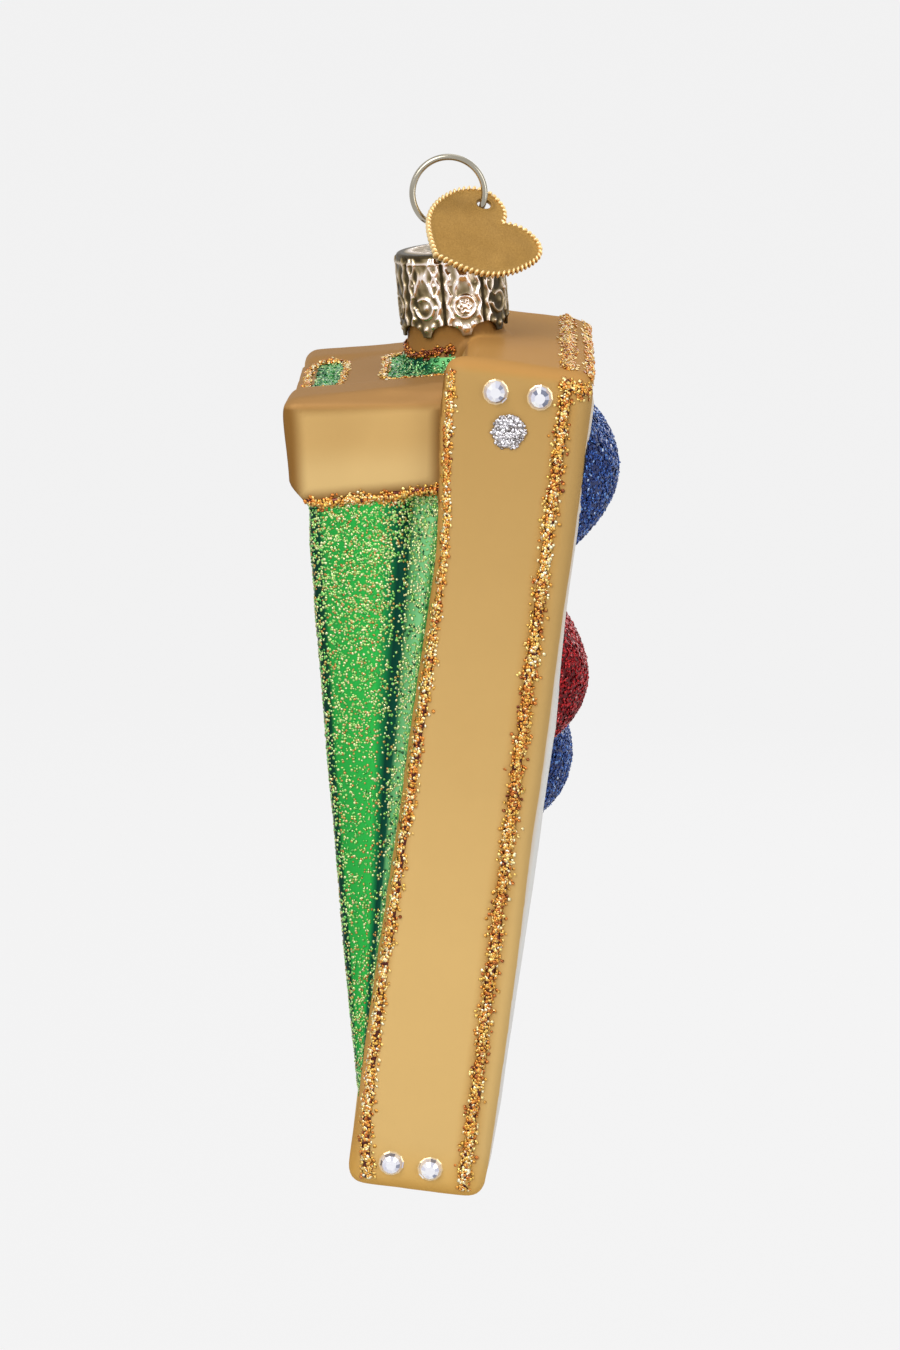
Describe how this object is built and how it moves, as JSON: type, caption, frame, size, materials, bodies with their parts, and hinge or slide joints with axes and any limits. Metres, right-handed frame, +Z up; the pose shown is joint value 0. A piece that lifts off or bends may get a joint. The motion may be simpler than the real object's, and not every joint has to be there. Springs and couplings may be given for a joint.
{
  "type": "cornhole board ornament",
  "caption": "Blown-glass tree ornament in the shape of a slanted bag-toss board on its legs, with glitter lines, a scalloped cap, a wire ring hanger and a heart tag.",
  "frame": {"origin": "top of the opening of the wire ring, where the hook or thread bears", "axes": "+Z up as it hangs, +X out of the playing surface, -Y towards the side that the picture shows"},
  "size_m": [0.0384, 0.0462, 0.1194],
  "materials": {
    "hanger_steel": "bright plated spring wire",
    "tag_brass": "stamped satin brass with a beaded rim",
    "cap_metal": "embossed champagne metal with dark hollows",
    "tan_lacquer": "silvered glass under satin tan lacquer",
    "green_lacquer": "silvered glass under clear green lacquer with gold glitter",
    "white_lacquer": "silvered glass under gloss white lacquer",
    "stone_crystal": "foil-backed faceted flat-back stone",
    "silver_glitter": "silver glitter in clear glue",
    "gold_glitter": "gold and copper glitter in clear glue",
    "blue_glitter": "blue glitter in clear glue",
    "red_glitter": "red glitter in clear glue"
  },
  "bodies": {
    "hanger": {"hanger_wire": "hanger_steel"},
    "tag": {"heart_tag": "tag_brass"},
    "cap": {"crown_cap": "cap_metal"},
    "glass": {"glass_body": "tan_lacquer", "left_stone_upper_inner": "stone_crystal", "left_stone_upper_outer": "stone_crystal", "left_stone_lower_inner": "stone_crystal", "left_stone_lower_outer": "stone_crystal", "left_bolt_dot": "silver_glitter", "left_ground_edge_line": "gold_glitter", "left_deck_seam_line": "gold_glitter", "left_corner_line": "gold_glitter", "left_leg_line": "gold_glitter", "right_stone_upper_inner": "stone_crystal", "right_stone_upper_outer": "stone_crystal", "right_stone_lower_inner": "stone_crystal", "right_stone_lower_outer": "stone_crystal", "right_bolt_dot": "silver_glitter", "right_ground_edge_line": "gold_glitter", "right_deck_seam_line": "gold_glitter", "right_corner_line": "gold_glitter", "right_leg_line": "gold_glitter", "top_seam_line": "gold_glitter", "deck_edge_line": "gold_glitter", "foot_recess_line": "gold_glitter", "neck_recess_line": "gold_glitter", "neck_foot_line": "gold_glitter", "upper_blue_bag_glitter": "blue_glitter", "red_bag_glitter": "red_glitter", "lower_blue_bag_glitter": "blue_glitter"}
  },
  "joints": [
    {"name": "rock", "type": "hinge", "parent": "hanger", "child": "cap", "pos_m": [0, 0, -0.0102], "axis": [0.9962, 0, 0.0872], "range_deg": [0, 12]},
    {"name": "pull_off", "type": "slide", "parent": "cap", "child": "glass", "axis": [0.0872, 0, -0.9962], "range_m": [0, 0.022]},
    {"name": "tag_flip", "type": "hinge", "parent": "hanger", "child": "tag", "pos_m": [0.00449, 0, -0.00535], "axis": [-0.9659, -0.2588, 0], "range_deg": [0, 55]}
  ]
}
